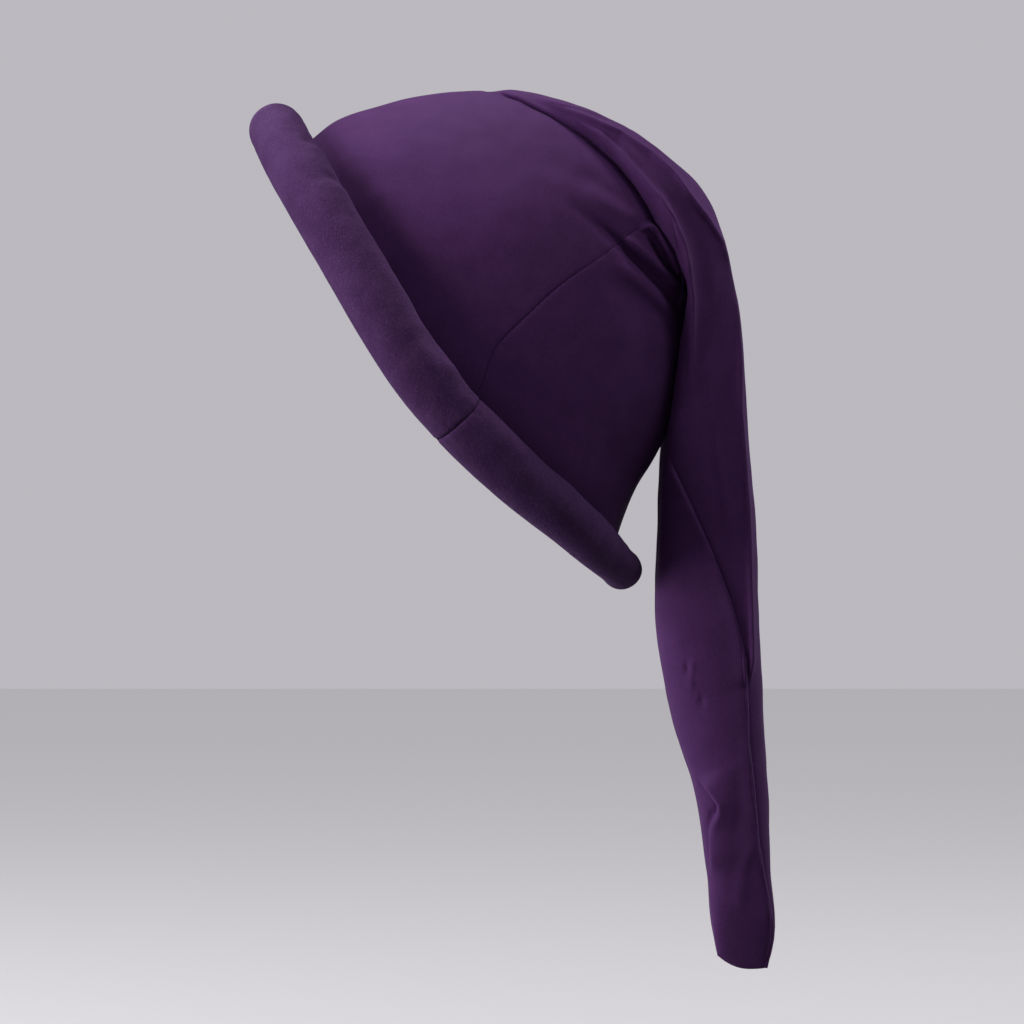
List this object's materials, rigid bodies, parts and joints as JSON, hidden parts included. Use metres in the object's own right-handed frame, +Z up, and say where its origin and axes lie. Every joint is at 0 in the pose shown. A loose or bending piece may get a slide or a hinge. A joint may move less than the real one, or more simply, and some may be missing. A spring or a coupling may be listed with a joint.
{
  "type": "long-tailed elf hat",
  "caption": "Long-tailed cloth elf hat in its worn form: snug crown with a stuffed roll for a brim, and a hollow flattened tail that hangs down behind.",
  "frame": {"origin": "centre of the head opening, where the head holds the hat", "axes": "+Z up as worn, -Y towards the wearer's front, +X towards the wearer's left side, the side with the modelled folds"},
  "size_m": [0.2074, 0.2208, 0.368],
  "materials": {
    "jersey_cloth": "smooth matt jersey with a faint satin sheen",
    "velour_roll": "short-pile velour over soft filling"
  },
  "bodies": {
    "root": {"front_panel": "jersey_cloth", "back_panel": "jersey_cloth", "brim_front": "velour_roll", "brim_back": "velour_roll"}
  },
  "joints": []
}
